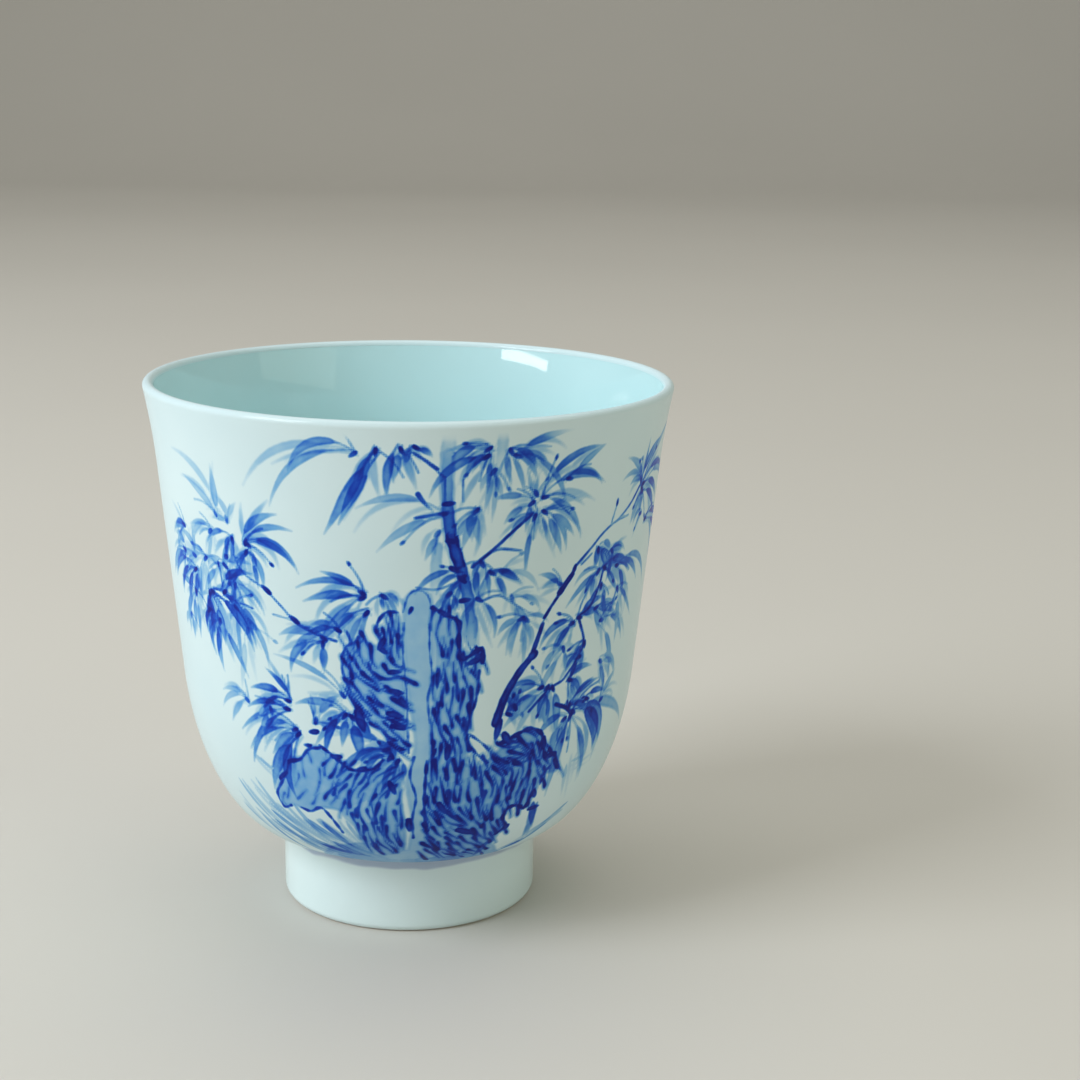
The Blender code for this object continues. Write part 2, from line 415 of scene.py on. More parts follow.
def paint_bamboo_and_rocks():
    """The picture: rocks at the foot of two bamboos, their sprays of leaves, and some grass."""
    p = Painting(7)

    # Main culm: a soft wash all the way down with darker lengths between the nodes
    for points, width, tone, far, layer in (
            ([(4.6, 70.2), (4.5, 68.4), (4.4, 66.6)], 1.8, 0.02, 0.24, "shade"),
            ([(4.4, 66.8), (4.4, 64.5), (4.5, 60.6), (5.0, 56.0), (6.2, 51.6), (7.4, 47.4), (8.2, 42.0),
              (8.4, 38.6)],
             1.9, 0.24, 0.1, "shade"),
            ([(4.5, 67.0), (4.4, 64.5), (4.5, 60.6)], 1.35, 0.1, 0.42, "leaf_a"),
            ([(4.5, 60.2), (4.8, 57.6), (5.2, 55.6)], 1.45, 0.5, 0.85, "leaf_a"),
            ([(5.0, 56.4), (5.6, 54.0), (6.3, 51.8)], 1.5, 0.98, 0.95, "leaf_a"),
            ([(6.5, 51.2), (7.2, 48.6), (7.6, 47.0)], 1.5, 0.7, 0.5, "leaf_a"),
            ([(7.6, 46.6), (7.9, 44.4), (8.2, 41.2)], 1.2, 0.6, 0.12, "leaf_a"),
            ([(11.0, 70.2), (11.0, 67.0), (10.9, 63.0)], 1.4, 0.26, 0.03, "shade"),
            ([(3.4, 54.4), (3.2, 50.6), (3.3, 46.4)], 1.3, 0.3, 0.03, "shade")):
        p.line(points, width, tone, end_strength=far, layer=layer, rough=0.12)
    for u, v, heading in (
            (5.6, 51.6, -30), (4.6, 60.2, 5), (5.1, 55.3, -10), (7.0, 47.0, 5), (7.5, 49.6, 140)):
        p.dab(u - 0.5, v, heading, 1.5, 0.75, 0.98)
    for u in (4.15, 6.35):
        p.line([(u, 63.5), (u + 0.1, 60.5)], 0.3, 0.7, end_strength=0.5)

    # Slim bamboo rising to the right, with its long twig
    for points, width in (([(12.1, 29.2), (13.4, 33.0), (15.2, 36.0), (16.6, 37.6)], 1.15),
                          ([(17.3, 38.9), (18.0, 41.0), (18.5, 42.6)], 0.72),
                          ([(18.7, 43.4), (19.7, 44.9), (20.6, 46.0)], 0.5),
                          ([(20.9, 46.6), (22.0, 47.9), (22.9, 48.9)], 0.9)):
        p.line(points, width, 1.0, end_width=width * 0.8, end_strength=0.92, layer="ink", rough=0.1)
    p.dab(17.6, 38.5, 215, 1.1, 1.35, 1.0)
    p.dab(23.3, 50.0, 250, 1.5, 0.7, 0.98)
    p.line([(23.4, 50.0), (25.8, 51.9), (28.4, 53.9), (31.0, 54.9), (34.0, 55.2)], 0.42, 0.85, 0.25, 0.5)
    p.line([(31.0, 54.9), (34.0, 56.6), (36.6, 58.9)], 0.3, 0.5, 0.45, 0.75)
    p.line([(29.8, 55.0), (30.6, 57.2)], 0.3, 0.55)
    p.dab(30.6, 57.3, 80, 0.9, 0.6, 0.9)

    # Twig from the rocks up to the left, and the twigs that tie the sprays together
    p.line([(-9.8, 41.2), (-12.6, 42.0), (-15.4, 43.2), (-17.6, 45.3), (-20.0, 47.3), (-23.4, 49.0),
            (-24.8, 51.2)], 0.36, 0.8, 0.3, 0.55)
    for u, v in ((-15.7, 43.6), (-19.7, 47.2)):
        p.dab(u + 0.6, v - 0.4, 145, 1.8, 0.75, 1.0)
    p.line([(-22.2, 44.2), (-24.5, 44.6), (-27.5, 45.0)], 0.3, 0.7, 0.3, 0.6)
    p.line([(-18.9, 43.9), (-17.2, 43.7), (-15.6, 43.4)], 0.25, 0.5)
    p.line([(7.9, 51.6), (10.4, 53.6), (13.2, 56.1), (15.8, 58.2)], 0.45, 0.92, 0.4, 0.85)
    p.line([(8.0, 51.9), (11.0, 53.7), (14.4, 53.3)], 0.35, 0.8, 0.35, 0.6)
    p.line([(2.6, 65.6), (3.4, 64.4), (4.2, 63.8)], 0.3, 0.7)
    p.line([(-0.4, 67.6), (1.4, 66.4), (3.2, 64.9)], 0.28, 0.7, 0.5, 0.95)
    p.line([(0.9, 61.6), (1.8, 60.3), (2.7, 59.4)], 0.65, 0.8, 0.25, 0.4)
    p.line([(0.6, 58.4), (4.6, 59.1)], 0.4, 0.65, 0.5, 0.55)
    p.line([(6.3, 49.8), (3.4, 48.7), (0.8, 49.0)], 0.3, 0.6)
    p.line([(9.3, 46.8), (11.6, 47.4), (13.8, 46.0), (16.3, 44.4)], 0.35, 0.65, 0.25, 0.3)
    p.line([(24.4, 50.0), (26.2, 51.2)], 0.3, 0.7)
    p.line([(22.0, 30.4), (24.2, 29.4), (25.4, 28.2)], 0.6, 0.9)
    p.line([(23.0, 33.8), (25.2, 36.2), (26.4, 38.6), (25.0, 42.0)], 0.35, 0.9, 0.45, 0.95)
    p.line([(24.8, 42.6), (27.0, 43.6), (28.4, 46.0), (29.0, 48.2)], 0.4, 0.85, 0.4, 0.9)
    p.line([(17.3, 30.2), (20.4, 32.8), (22.6, 33.6)], 0.4, 0.85)

    # Sprays: u, v, heading, fan, leaves, reach, width, strength
    for spray in (
            (-6.4, 67.0, 182, 10, 2, 15.0, 1.7, 0.62), (-4.0, 67.6, 244, 34, 3, 9.5, 1.9, 0.82),
            (-1.2, 67.8, 262, 20, 2, 7.2, 1.6, 0.85), (0.4, 68.0, 300, 60, 2, 3.0, 0.9, 0.8),
            (4.4, 58.9, 184, 16, 2, 13.0, 1.2, 0.52), (3.6, 56.6, 222, 16, 1, 5.0, 0.9, 0.42),
            (9.6, 67.6, 215, 60, 3, 5.0, 1.2, 0.72), (9.4, 66.6, 222, 50, 3, 6.2, 1.1, 0.8),
            (12.0, 67.2, 300, 60, 4, 5.4, 0.9, 0.7), (12.6, 66.4, 4, 20, 2, 8.5, 1.2, 0.7),
            (12.8, 66.2, 342, 14, 1, 9.5, 1.1, 0.5), (10.3, 64.6, 262, 60, 5, 5.2, 0.7, 0.5),
            (17.0, 60.2, 8, 50, 3, 10.5, 1.2, 0.72), (20.5, 62.4, 20, 24, 2, 7.5, 1.1, 0.72),
            (17.2, 58.4, 318, 50, 3, 8.6, 1.2, 0.72), (15.8, 59.8, 214, 60, 3, 5.2, 0.9, 0.72),
            (16.2, 58.0, 262, 50, 3, 5.6, 0.9, 0.7), (16.2, 60.6, 92, 50, 3, 3.0, 0.5, 0.55),
            (8.4, 59.4, 254, 50, 4, 6.0, 1.2, 0.66), (9.0, 52.2, 262, 44, 3, 4.4, 0.9, 0.66),
            (7.0, 50.4, 208, 70, 4, 5.2, 1.1, 0.72), (10.2, 50.8, 316, 60, 3, 5.6, 1.0, 0.76),
            (8.6, 47.2, 292, 44, 3, 6.0, 1.1, 0.62), (5.2, 48.2, 244, 60, 3, 3.6, 0.9, 0.66),
            (15.4, 43.9, 222, 50, 2, 6.0, 1.0, 0.66), (15.6, 43.7, 300, 80, 4, 5.0, 0.8, 0.52),
            (21.2, 47.6, 152, 24, 2, 5.0, 0.9, 0.62), (12.0, 50.6, 4, 20, 1, 5.4, 0.8, 0.35),
            (-22.6, 53.0, 48, 26, 2, 7.6, 1.35, 0.9), (-22.4, 53.2, 352, 22, 2, 8.2, 1.6, 0.86),
            (-22.4, 52.2, 262, 70, 5, 4.8, 0.9, 0.72), (-24.8, 53.6, 240, 56, 4, 4.8, 1.0, 0.72),
            (-25.4, 55.6, 110, 70, 3, 4.0, 0.8, 0.3), (-27.4, 56.2, 118, 24, 2, 9.8, 1.9, 0.38),
            (-28.8, 54.0, 210, 50, 3, 5.2, 0.9, 0.4), (-35.6, 53.2, 190, 60, 3, 5.4, 1.2, 0.5),
            (-30.4, 45.2, 322, 34, 3, 9.6, 1.7, 0.88), (-30.8, 44.9, 250, 50, 4, 4.8, 1.1, 0.92),
            (-31.2, 42.4, 262, 76, 4, 4.8, 1.1, 0.88), (-27.6, 45.4, 42, 40, 3, 6.6, 1.1, 0.88),
            (-33.6, 47.6, 214, 50, 4, 7.2, 1.3, 0.88), (-36.4, 49.6, 186, 46, 3, 6.4, 1.2, 0.55),
            (-25.0, 47.2, 300, 90, 5, 5.2, 0.9, 0.5), (-23.4, 41.2, 276, 26, 1, 8.6, 1.3, 0.24),
            (-37.2, 40.4, 250, 40, 2, 4.0, 1.1, 0.4), (-33.4, 49.4, 140, 60, 3, 4.4, 1.0, 0.4),
            (-5.8, 47.9, 168, 24, 2, 8.0, 1.1, 0.9), (-5.8, 47.6, 202, 22, 2, 9.2, 1.3, 0.9),
            (-5.4, 45.6, 216, 34, 3, 6.6, 1.2, 0.75), (-3.6, 47.9, 300, 60, 3, 3.6, 0.8, 0.7),
            (-11.2, 41.2, 182, 24, 2, 7.4, 1.5, 0.72), (-11.6, 41.0, 240, 36, 2, 6.0, 1.4, 0.82),
            (-9.2, 42.6, 178, 40, 2, 5.6, 1.0, 0.85), (-9.0, 33.4, 152, 16, 1, 8.4, 0.9, 0.55),
            (-17.2, 31.8, 158, 44, 3, 6.6, 1.0, 0.85), (-17.4, 30.6, 198, 36, 3, 8.6, 1.2, 0.85),
            (-16.4, 28.0, 190, 22, 2, 9.0, 1.3, 0.75), (-16.0, 27.4, 218, 26, 3, 9.6, 1.7, 0.82),
            (-24.6, 30.4, 176, 60, 3, 5.2, 0.9, 0.45), (-13.4, 29.2, 40, 60, 3, 5.4, 1.0, 0.66),
            (-8.8, 31.0, 196, 40, 3, 7.0, 1.3, 0.9), (-8.2, 30.8, 270, 60, 3, 4.6, 1.5, 0.98),
            (-3.0, 26.2, 172, 20, 2, 8.4, 1.3, 0.8), (-2.6, 25.2, 208, 34, 3, 6.4, 1.1, 0.85),
            (-2.4, 24.8, 128, 60, 3, 4.4, 1.2, 0.95), (-1.6, 24.6, 250, 40, 2, 5.0, 1.0, 0.85),
            (27.4, 51.8, 300, 60, 3, 4.8, 1.6, 0.82), (29.0, 48.8, 352, 30, 3, 6.4, 1.2, 0.85),
            (32.0, 48.4, 338, 50, 3, 9.0, 1.2, 0.78), (28.2, 48.6, 232, 50, 4, 5.6, 1.0, 0.7),
            (29.0, 46.4, 280, 60, 3, 4.6, 1.1, 0.74), (30.4, 51.0, 330, 80, 4, 4.2, 0.9, 0.6),
            (24.6, 42.4, 20, 30, 2, 5.6, 1.5, 0.95), (24.0, 41.8, 214, 50, 4, 5.4, 1.0, 0.78),
            (28.0, 43.0, 344, 44, 3, 7.0, 1.1, 0.66), (26.6, 38.6, 236, 50, 3, 4.8, 0.9, 0.88),
            (29.6, 41.0, 326, 36, 2, 8.0, 1.2, 0.62), (26.0, 36.6, 204, 34, 2, 4.0, 0.9, 0.98),
            (24.0, 33.6, 340, 60, 3, 5.0, 1.3, 0.9), (20.4, 33.4, 228, 30, 2, 7.6, 2.3, 0.74),
            (21.0, 33.2, 288, 20, 2, 7.8, 1.5, 0.82), (19.4, 33.4, 160, 40, 2, 6.0, 1.1, 0.86),
            (15.2, 30.8, 80, 60, 3, 3.2, 0.9, 0.8), (13.8, 30.4, 6, 40, 2, 3.4, 1.1, 0.95),
            (25.4, 28.8, 334, 26, 2, 14.0, 3.0, 0.92), (25.2, 28.2, 282, 26, 2, 11.4, 1.9, 0.78),
            (24.6, 29.4, 38, 50, 3, 5.0, 1.1, 0.92), (24.2, 28.0, 226, 50, 3, 5.4, 1.2, 0.7),
            (28.2, 29.9, 352, 10, 1, 4.0, 0.9, 0.9), (32.0, 28.6, 30, 10, 1, 6.0, 0.9, 0.6),
            (37.4, 58.8, 22, 40, 3, 12.0, 1.6, 0.82), (37.2, 58.4, 338, 26, 2, 9.6, 1.3, 0.85),
            (36.8, 59.2, 122, 60, 4, 5.6, 1.1, 0.62), (37.6, 58.0, 254, 50, 3, 4.4, 1.1, 0.62),
            (40.2, 53.2, 342, 14, 2, 12.5, 1.8, 0.92), (38.4, 54.6, 196, 50, 2, 3.6, 0.6, 0.5),
            (-30.6, 49.8, 240, 130, 5, 6.4, 1.1, 0.5), (-27.0, 49.6, 300, 110, 4, 6.0, 1.0, 0.55),
            (-29.0, 41.4, 280, 80, 3, 7.0, 1.2, 0.6), (-34.6, 44.4, 230, 90, 4, 5.6, 1.1, 0.6),
            (-25.6, 44.0, 310, 60, 3, 6.6, 1.1, 0.7), (-20.6, 30.4, 250, 70, 3, 5.0, 1.0, 0.55),
            (33.2, 45.0, 300, 80, 4, 6.0, 1.0, 0.55), (22.4, 38.6, 250, 90, 3, 5.4, 0.9, 0.5),
            (30.6, 35.0, 320, 70, 3, 6.4, 1.1, 0.55), (13.4, 47.2, 300, 80, 3, 5.6, 0.9, 0.4)):
        p.spray(*spray)

    # The rocks: a tall pale column between two ribbed slabs, on two low boulders
    column = [(-1.0, 47.2), (0.2, 48.6), (1.8, 48.7), (2.9, 47.0), (3.2, 40.0), (2.8, 32.0), (4.6, 27.0),
              (3.2, 21.0), (2.8, 12.0), (2.4, 4.5), (-0.6, 4.5), (0.2, 14.0), (-0.6, 21.0), (0.6, 27.0),
              (-0.2, 33.0), (-0.8, 40.0)]
    p.wash(column, 0.26)
    left_slab = [(-8.8, 40.4), (-6.8, 42.0), (-4.4, 41.0), (-2.2, 44.6), (-1.0, 43.0), (-0.7, 36.0),
                 (-0.5, 29.0), (-1.0, 25.6), (-3.6, 28.2), (-6.0, 30.4), (-8.2, 33.4), (-9.2, 37.4)]
    right_slab = [(3.0, 46.0), (5.2, 44.8), (6.6, 43.0), (7.2, 40.0), (9.8, 39.6), (9.4, 36.0), (8.7, 31.6),
                  (8.2, 27.0), (7.6, 23.0), (3.4, 22.6), (3.0, 30.0), (3.4, 38.0)]
    left_boulder = [(-22.0, 17.4), (-20.4, 20.6), (-18.6, 23.4), (-16.0, 24.0), (-14.2, 26.0),
                    (-12.2, 25.2),
                    (-10.2, 24.4), (-7.6, 22.8), (-5.4, 23.4), (-3.6, 24.6), (-1.4, 23.6), (-1.2, 18.0),
                    (-0.6, 12.0), (-1.6, 6.0), (-6.4, 5.6), (-8.6, 11.4), (-10.4, 15.2), (-13.8, 15.8),
                    (-16.8, 14.8), (-19.4, 15.4), (-21.2, 14.8)]
    right_boulder = [(3.0, 23.6), (6.8, 24.2), (10.0, 23.0), (13.4, 25.6), (17.6, 27.6), (20.0, 26.4),
                     (21.2, 23.6), (23.0, 22.8), (24.4, 19.8), (21.6, 19.6), (20.8, 16.4), (19.4, 14.6),
                     (17.4, 15.4), (15.8, 13.6), (16.8, 11.4), (15.4, 9.6), (14.2, 5.2), (2.6, 5.2)]
    p.rock(left_slab, 0.30,
           [(-7.8, 38, -62), (-5.2, 35, -44), (-2.2, 36, -14), (-2.0, 31, -30), (-6.4, 32.4, -52),
                             (-2.6, 41, -84), (-4.6, 40.4, -70)], 0.72, 0.52, 3.8, 0.96)
    p.rock(right_slab, 0.28,
           [(4.2, 42, -86), (6.2, 38, -92), (8.4, 37.4, -60), (4.0, 34, -84), (6.6, 30, -74),
                              (5.0, 26, -84), (8.0, 33, -80)], 0.76, 0.5, 3.8, 0.96)
    p.wash(left_boulder, 0.34)
    p.rock([(-12.2, 24.2), (-7.6, 22.4), (-2.2, 23.4), (-1.4, 17), (-1.0, 9), (-6.4, 6.6), (-8.4, 11.8),
            (-11.0, 15.6)], 0.2,
            [(-10.6, 21, -130), (-9.2, 17, -100), (-5, 20.6, -118), (-3, 15, -92), (-6.4, 13, -84),
                                 (-3, 9, -60), (-4, 23, -160)], 0.78, 0.46, 3.8, 0.8)
    p.rock([(-21.0, 16.2), (-18.0, 22.4), (-14.8, 24.6), (-11.4, 23.2), (-11.6, 16.8), (-15.0, 16.4),
            (-18.6, 16.2)],
           0.0, [(-18.6, 19, 64), (-15.6, 21, 100), (-13.4, 18, 60), (-16.6, 17.4, 20)], 2.2, 0.28, 2.8,
           0.42)
    p.rock(right_boulder, 0.36,
           [(4, 20, -80), (4.4, 15.4, -52), (7.4, 12, -36), (10.4, 8.6, -28), (8, 18.4, -72),
                                 (12, 17.4, -88), (14, 13, -64), (17.2, 20.4, -106), (15.6, 23.4, -20),
                                 (20.2, 21, -60), (8, 22, -80), (3.4, 9, -52)], 0.76, 0.52, 4.2, 0.96)
    for outline, width, tone in (
            ([(-0.9, 45.6), (-0.2, 48.0), (1.0, 48.7), (2.2, 48.0), (2.8, 46.0)], 0.38, 0.8),
            ([(-1.6, 45.6), (-3.2, 45.5), (-4.4, 43.4), (-3.4, 41.4)], 0.62, 0.92),
            ([(2.9, 46.2), (4.6, 45.2), (6.4, 44.0), (6.4, 41.0), (7.2, 38.9), (9.6, 40.2), (9.8, 38.2)],
             0.95, 0.98),
            ([(-6.4, 41.4), (-8.4, 40.6), (-9.2, 38.2), (-8.6, 35.4), (-7.2, 33.0), (-5.4, 31.0)], 0.5,
             0.8),
            ([(2.5, 44.0), (2.6, 40.0), (3.0, 36.4), (2.4, 33.6), (2.7, 30.0)], 0.42, 0.85),
            ([(-0.8, 44.2), (-0.9, 39.6), (-0.5, 35.0), (-0.3, 29.0), (-0.2, 25.6)], 0.42, 0.85),
            ([(9.4, 37.0), (9.2, 33.4), (8.4, 30.6), (8.0, 27.6), (9.2, 25.4), (11.4, 23.4)], 0.6, 0.92),
            ([(0.6, 25.0), (0.0, 22.0), (0.9, 18.6), (0.4, 15.0), (0.6, 11.0)], 0.5, 0.85),
            ([(2.4, 24.4), (2.2, 19.8), (2.3, 15.0), (3.0, 12.4)], 0.7, 0.95),
            ([(-13.0, 25.6), (-14.8, 25.2), (-16.4, 23.4), (-18.2, 23.0), (-19.2, 20.8), (-20.8, 18.6),
              (-22.0, 16.8), (-21.4, 14.6), (-19.8, 15.2)], 0.62, 0.88),
            ([(-18.0, 15.2), (-16.2, 14.8), (-14.2, 15.8), (-12.6, 13.8), (-11.4, 11.4)], 0.7, 0.85),
            ([(-13.0, 26.0), (-11.0, 24.6), (-8.8, 22.9), (-7.0, 22.8), (-5.0, 23.2), (-3.8, 24.6)], 0.75,
             0.98),
            ([(13.4, 26.2), (15.4, 27.0), (17.8, 27.6), (20.0, 26.4), (20.4, 24.4), (21.4, 22.8),
              (23.0, 22.8),
              (24.0, 20.4)], 0.95, 1.0),
            ([(22.6, 21.0), (21.4, 19.8), (21.3, 18.2)], 0.55, 0.85),
            ([(20.5, 17.6), (19.9, 16.0), (19.4, 14.4), (18.0, 15.2), (16.2, 15.2), (15.6, 13.4),
              (16.8, 11.6),
              (15.4, 10.2)], 0.85, 1.0),
            ([(8.4, 28.0), (10.6, 26.2), (12.6, 24.0), (14.0, 23.8)], 0.5, 0.92),
            ([(15.2, 25.0), (16.8, 25.6), (18.6, 24.6), (18.2, 23.0), (16.4, 22.2)], 0.42, 0.72)):
        p.line(outline, 0.62 * width, 0.92 * tone, layer="ink", rough=0.5)
    for u, v, heading, length, width in (
            (-20.6, 19.6, 45, 2.2, 1.0), (-18.4, 22.8, 20, 2.4, 0.95), (-10.0, 24.6, 190, 1.6, 1.1),
            (-6.4, 23.2, 190, 1.6, 0.9), (-13.2, 28.0, 190, 1.4, 1.1), (-14.4, 25.8, 190, 1.2, 0.8),
            (20.4, 25.8, -80, 2.2, 1.1), (22.6, 22.8, 185, 1.4, 1.0), (23.2, 21.8, -60, 2.4, 1.1),
            (20.4, 17.2, -60, 1.4, 1.2), (17.2, 11.6, 250, 1.2, 1.0), (12.8, 29.4, -98, 3.0, 1.4),
            (13.6, 27.4, -60, 2.2, 1.6), (-3.4, 41.8, 250, 1.8, 1.2), (-4.0, 40.6, 320, 1.6, 1.0),
            (3.6, 37.0, -86, 2.4, 0.8), (9.2, 38.6, 200, 1.8, 1.2), (0.2, 46.2, 250, 1.0, 0.8),
            (-3.0, 31.4, -10, 2.4, 1.3), (-2.4, 29.6, -14, 2.2, 1.2), (-1.2, 33.4, -60, 1.8, 1.1),
            (-2.6, 34.6, -10, 2.0, 1.1), (-2.8, 37.2, 4, 1.8, 1.0), (-7.2, 31.4, -70, 3.2, 1.8),
            (-0.2, 14.6, -80, 2.4, 1.4), (4.4, 17.4, -50, 2.4, 1.3), (8.0, 12.2, -24, 3.6, 1.5),
            (5.4, 26.4, -100, 2.2, 1.3), (3.5, 26.0, -100, 1.8, 0.8), (-3.0, 21.0, -70, 2.2, 1.3)):
        p.dab(u, v, heading + p.vary(8.0), length, 0.75 * width, 0.96)

    # Wash on the ground, and grass blades sweeping down from both sides
    p.wash([(-15.0, 7.6), (-8.0, 9.6), (-2.0, 8.0), (6.0, 10.0), (14.0, 8.8), (18.0, 5.0), (19.0, 1.2),
            (-15.0, 1.2), (-19.0, 3.0)], 0.25)
    for points, width, tone, far in (([(-2.0, 2.8), (3.0, 3.4), (9.0, 3.4)], 3.6, 0.03, 0.44),
                                     ([(9.0, 3.4), (13.0, 3.6), (17.0, 3.2)], 3.6, 0.44, 0.05),
                                     ([(-13.0, 4.4), (-8.0, 4.8), (-2.0, 3.0)], 2.4, 0.2, 0.03)):
        p.line(points, width, tone, end_strength=far, layer="shade", rough=0.3)
    for u, v, heading, length, width, tone in (
            (-30.0, 16.0, -44, 12.0, 0.8, 0.32), (-26.2, 17.6, -46, 13.0, 0.7, 0.26),
            (-23.8, 13.8, -36, 12.5, 1.3, 0.5), (-20.4, 14.4, -52, 9.0, 0.8, 0.42),
            (-17.8, 12.8, -40, 11.0, 1.1, 0.5), (-15.2, 13.0, -42, 9.0, 1.2, 0.56),
            (-25.8, 11.0, -34, 12.0, 1.0, 0.42), (-29.0, 11.6, -40, 10.0, 0.8, 0.32),
            (-21.0, 8.8, -24, 10.0, 1.2, 0.5), (-13.0, 9.0, -30, 8.0, 1.2, 0.5),
            (-24.4, 21.6, -34, 6.0, 0.5, 0.3), (-17.0, 8.0, -22, 10.0, 1.1, 0.5),
            (-33.0, 13.0, -48, 9.0, 0.7, 0.22), (-11.0, 13.0, -62, 6.0, 0.6, 0.35),
            (20.9, 14.0, -76, 8.4, 1.7, 0.95), (23.4, 5.6, 205, 6.0, 1.0, 0.6),
            (31.0, 11.6, 214, 9.0, 0.9, 0.32), (27.4, 9.4, 210, 7.0, 0.8, 0.38),
            (14.8, 9.6, -104, 5.0, 1.2, 0.6), (27.4, 20.6, -86, 7.0, 0.9, 0.22),
            (26.6, 20.0, 4, 5.0, 0.5, 0.22)):
        for share in (1.0, 0.7, 0.8):
            p.leaf(u + p.vary(1.2), v + p.vary(1.2), heading + p.vary(9.0), length * (1.0 + p.vary(0.3)),
                   0.55 * share * width, 0.75 * share * tone, bend=16.0, stem=0.0,
                   layer=None if share == 1.0 else "shade")
    p.dab(20.6, 14.0, 2, 2.2, 0.9, 0.95)
    return p


# ---------------------------------------------------------------- turned surfaces
def turned_glaze_tree():
    """Geometry Nodes: sweeps an outline round the axis, one column of points at a time."""
    tree = bpy.data.node_groups.new("turned_glaze", "GeometryNodeTree")
    tree.interface.new_socket("Outline", in_out="INPUT", socket_type="NodeSocketGeometry")
    for name, kind in (("Rows", "Int"), ("Columns", "Int"), ("Front Angle", "Float"),
                       ("Front Share", "Float"), ("Crowding", "Float"), ("Glaze", "Material")):
        tree.interface.new_socket(name, in_out="INPUT", socket_type="NodeSocket" + kind)
    tree.interface.new_socket("Surface", in_out="OUTPUT", socket_type="NodeSocketGeometry")
    given = node(tree, "NodeGroupInput").outputs

    def maths(operation, *values):
        return node(tree, "ShaderNodeMath", dict(enumerate(values)), operation=operation).outputs[0]

    grid = node(tree, "GeometryNodeMeshGrid", {"Size X": 2.0, "Size Y": 1.0, "Vertices X": given["Columns"],
                                               "Vertices Y": given["Rows"]})
    unrolled = node(tree, "GeometryNodeStoreNamedAttribute",
                    {"Geometry": grid.outputs["Mesh"], "Name": "OFBake", "Value": grid.outputs["UV Map"]},
                    data_type="FLOAT2", domain="CORNER")
    # Angle of each column from the front: close together there, and spread out round the back
    place = node(tree, "ShaderNodeSeparateXYZ",
                 {0: node(tree, "GeometryNodeInputPosition").outputs[0]}).outputs
    reach = maths("ABSOLUTE", place["X"])
    front = node(tree, "ShaderNodeMapRange", {"Value": reach, "From Max": given["Front Share"]}).outputs[0]
    back = node(tree, "ShaderNodeMapRange", {"Value": reach, "From Min": given["Front Share"],
                                             "From Max": 1.0}).outputs[0]
    crowded = maths("DIVIDE", maths("MULTIPLY_ADD", maths("POWER", front, 3.0), given["Crowding"], front),
                    maths("ADD", given["Crowding"], 1.0))
    behind = maths("MULTIPLY", back, maths("SUBTRACT", math.pi, given["Front Angle"]))
    angle = maths("MULTIPLY", maths("MULTIPLY_ADD", crowded, given["Front Angle"], behind),
                  maths("SIGN", place["X"]))
    # Radius and height of each row, read from the outline's point with the same number
    row = maths("FLOORED_MODULO", node(tree, "GeometryNodeInputIndex").outputs[0], given["Rows"])
    point = node(tree, "GeometryNodeSampleIndex",
                 {"Geometry": given["Outline"], "Value": node(tree, "GeometryNodeInputPosition").outputs[0],
                  "Index": row}, data_type="FLOAT_VECTOR", domain="POINT")
    outline = node(tree, "ShaderNodeSeparateXYZ", {0: point.outputs[0]}).outputs
    turned = node(tree, "ShaderNodeCombineXYZ",
                  {"X": maths("MULTIPLY", outline["X"], maths("SINE", angle)),
                   "Y": maths("MULTIPLY", maths("MULTIPLY", outline["X"], maths("COSINE", angle)), -1.0),
                   "Z": outline["Z"]})
    swept = node(tree, "GeometryNodeSetPosition",
                 {"Geometry": unrolled.outputs[0], "Position": turned.outputs[0]})
    closed = node(tree, "GeometryNodeMergeByDistance", {"Geometry": swept.outputs[0], "Distance": 1e-6})
    smooth = node(tree, "GeometryNodeSetShadeSmooth", {"Geometry": closed.outputs[0]})
    real = node(tree, "GeometryNodeRealizeInstances", {"Geometry": smooth.outputs[0]})
    glazed = node(tree, "GeometryNodeSetMaterial",
                  {"Geometry": real.outputs[0], "Material": given["Glaze"]})
    node(tree, "NodeGroupOutput", {"Surface": glazed.outputs[0]})
    return tree


TURNED_GLAZE = turned_glaze_tree()


def turned_piece(name, outline, material, columns, front_angle=math.pi, front_share=1.0, crowding=0.0):
    """Sweep an outline into a plain mesh object."""
    data = bpy.data.meshes.new(name + "_outline")
    data.from_pydata([(r * MM, 0.0, h * MM) for r, h in outline],
                     [(i, i + 1) for i in range(len(outline) - 1)], [])
    source = bpy.data.objects.new(name + "_outline", data)
    bpy.context.scene.collection.objects.link(source)
    modifier = source.modifiers.new("turned_glaze", "NODES")
    modifier.node_group = TURNED_GLAZE
    sockets = {s.name: s.identifier for s in TURNED_GLAZE.interface.items_tree if s.in_out == "INPUT"}
    for label, value in (("Rows", len(outline)), ("Columns", columns), ("Front Angle", front_angle),
                         ("Front Share", front_share), ("Crowding", crowding), ("Glaze", material)):
        modifier[sockets[label]] = value
    bpy.context.view_layer.update()
    result = source.evaluated_get(bpy.context.evaluated_depsgraph_get())
    mesh = bpy.data.meshes.new_from_object(result)
    mesh.name = name
    bpy.data.objects.remove(source, do_unlink=True)
    piece = bpy.data.objects.new(name, mesh)
    bpy.context.scene.collection.objects.link(piece)
    return piece


